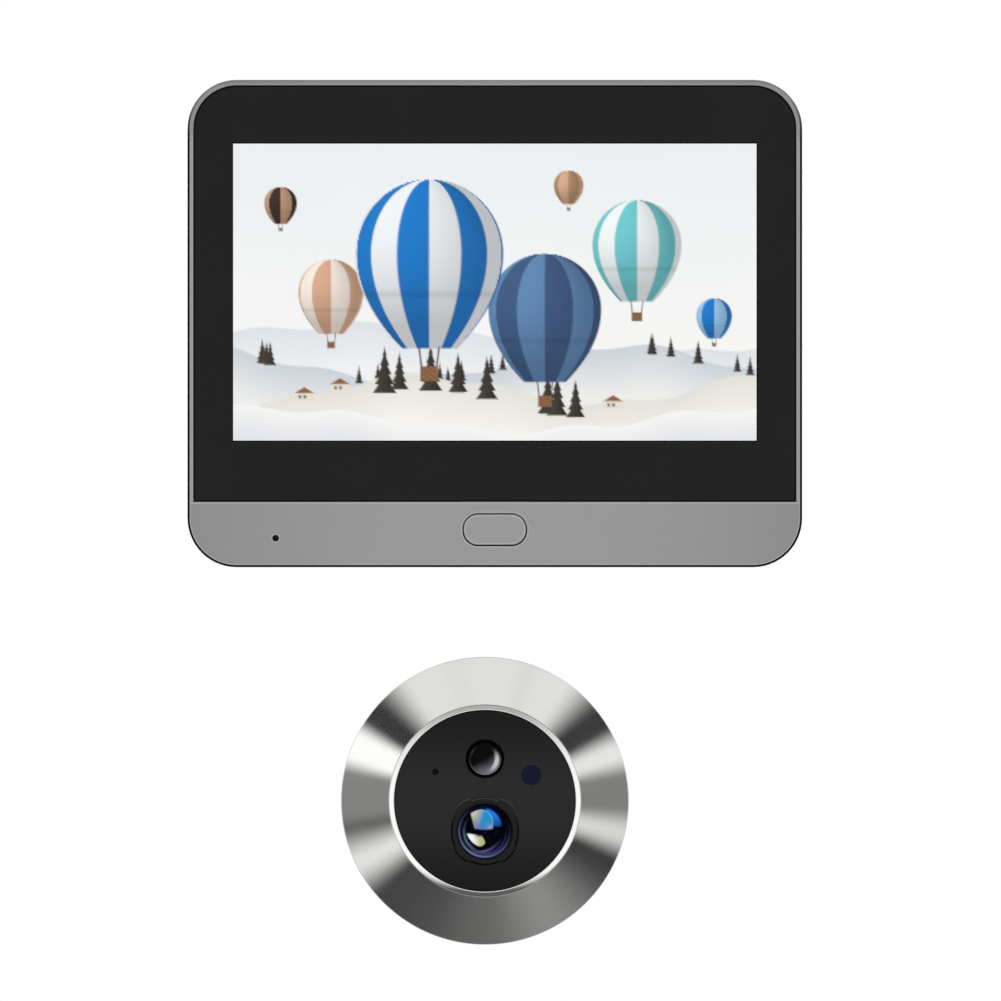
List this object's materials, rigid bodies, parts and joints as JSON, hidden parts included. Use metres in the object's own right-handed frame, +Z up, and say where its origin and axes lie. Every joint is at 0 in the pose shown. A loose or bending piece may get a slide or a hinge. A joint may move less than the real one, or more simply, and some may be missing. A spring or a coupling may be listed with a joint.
{
  "type": "door camera",
  "caption": "Indoor screen that hangs on a wall plate, with an outdoor camera unit whose threaded barrel clamps through the door.",
  "frame": {"origin": "centre of the barrel hole in the wall plate, on the face of the door", "axes": "+Z up, +X to the right as seen from the front, +Y into the door, so both fronts face -Y"},
  "size_m": [0.1116, 0.0663, 0.1569],
  "materials": {
    "frame_metal": "satin grey paint",
    "cover_glass": "polished, black behind the border",
    "tape": "adhesive tape",
    "foam": "closed cell foam",
    "panel": "display module",
    "tray_steel": "pressed sheet",
    "screw_steel": "zinc plated",
    "ribbon": "amber film",
    "socket_plastic": "moulded nylon",
    "black_plastic": "moulded, fine texture",
    "button_metal": "satin grey paint",
    "silicone": "soft silicone",
    "board": "solder mask",
    "can_steel": "tinned sheet",
    "antenna_film": "flexible board",
    "battery_film": "foil pouch",
    "housing_plastic": "moulded, fine texture",
    "plate_steel": "zinc plated sheet",
    "trim_metal": "turned and polished",
    "window_acrylic": "dark acrylic",
    "lens_black": "black anodised look",
    "lens_glass": "coated lens glass",
    "dome_plastic": "dark dome",
    "filter_blue": "dark blue filter",
    "chip": "moulded chip",
    "barrel_metal": "nickel plated",
    "seal_foam": "closed cell foam",
    "grommet_rubber": "moulded rubber",
    "nut_brass": "turned brass"
  },
  "bodies": {
    "door_fixed": {"wall_plate": "plate_steel", "trim_ring": "trim_metal", "camera_window": "window_acrylic", "window_seal": "foam", "lens_barrel": "lens_black", "lens_front": "lens_glass", "lens_rear": "lens_glass", "lens_holder": "black_plastic", "image_sensor": "chip", "camera_board": "board", "lead_socket": "socket_plastic", "sensor_bezel": "lens_black", "sensor_dome": "dome_plastic", "motion_sensor": "can_steel", "light_filter": "filter_blue", "light_sensor": "chip", "outdoor_mic_boot": "silicone", "outdoor_microphone": "can_steel", "rear_cup": "black_plastic", "cup_screws": "screw_steel", "threaded_barrel": "barrel_metal", "barrel_screws": "screw_steel", "door_seal": "seal_foam", "lead_grommet": "grommet_rubber"},
    "monitor": {"front_frame": "frame_metal", "screen_glass": "cover_glass", "glass_tape": "tape", "screen_foam": "foam", "lcd_panel": "panel", "lcd_tray": "tray_steel", "tray_screws": "screw_steel", "lcd_ribbon": "ribbon", "ribbon_socket": "socket_plastic", "button_pad": "silicone", "button_switch": "black_plastic", "button_board": "board", "button_screws": "screw_steel", "microphone_boot": "silicone", "microphone": "can_steel", "main_board": "board", "board_screws": "screw_steel", "processor_shield": "can_steel", "wifi_module": "can_steel", "wifi_antenna": "antenna_film", "camera_socket": "socket_plastic", "usb_port": "can_steel", "card_socket": "can_steel", "power_switch": "black_plastic", "battery_pack": "battery_film", "battery_pad": "foam", "speaker": "black_plastic", "rear_housing": "housing_plastic", "case_screws": "screw_steel"},
    "button": {"function_button": "button_metal"},
    "knob": {"power_knob": "black_plastic"},
    "card": {"memory_card": "black_plastic"},
    "washer": {"clamp_washer": "plate_steel"},
    "nut": {"sleeve_nut": "nut_brass"}
  },
  "joints": [
    {"name": "monitor_lift", "type": "slide", "parent": "door_fixed", "child": "monitor", "axis": [0, 0, 1], "range_m": [0, 0.0045]},
    {"name": "button_press", "type": "slide", "parent": "monitor", "child": "button", "axis": [0, 1, 0], "range_m": [0, 0.0004], "stiffness_N_per_m": 2500, "springref_m": -0.0001},
    {"name": "switch_slide", "type": "slide", "parent": "monitor", "child": "knob", "axis": [0, 0, 1], "range_m": [0, 0.002]},
    {"name": "card_slide", "type": "slide", "parent": "monitor", "child": "card", "axis": [1, 0, 0], "range_m": [0, 0.012]},
    {"name": "washer_slide", "type": "slide", "parent": "door_fixed", "child": "washer", "axis": [0, 1, 0], "range_m": [-0.012, 0.0045]},
    {"name": "nut_turn", "type": "hinge", "parent": "washer", "child": "nut", "pos_m": [-0.0018, 0.036, -0.08657], "axis": [0, 1, 0], "range_deg": [-2881, 1081]}
  ],
  "couplings": [
    {"joint": "nut_turn", "follows": "washer_slide", "rad_per_m": 4188.8}
  ]
}
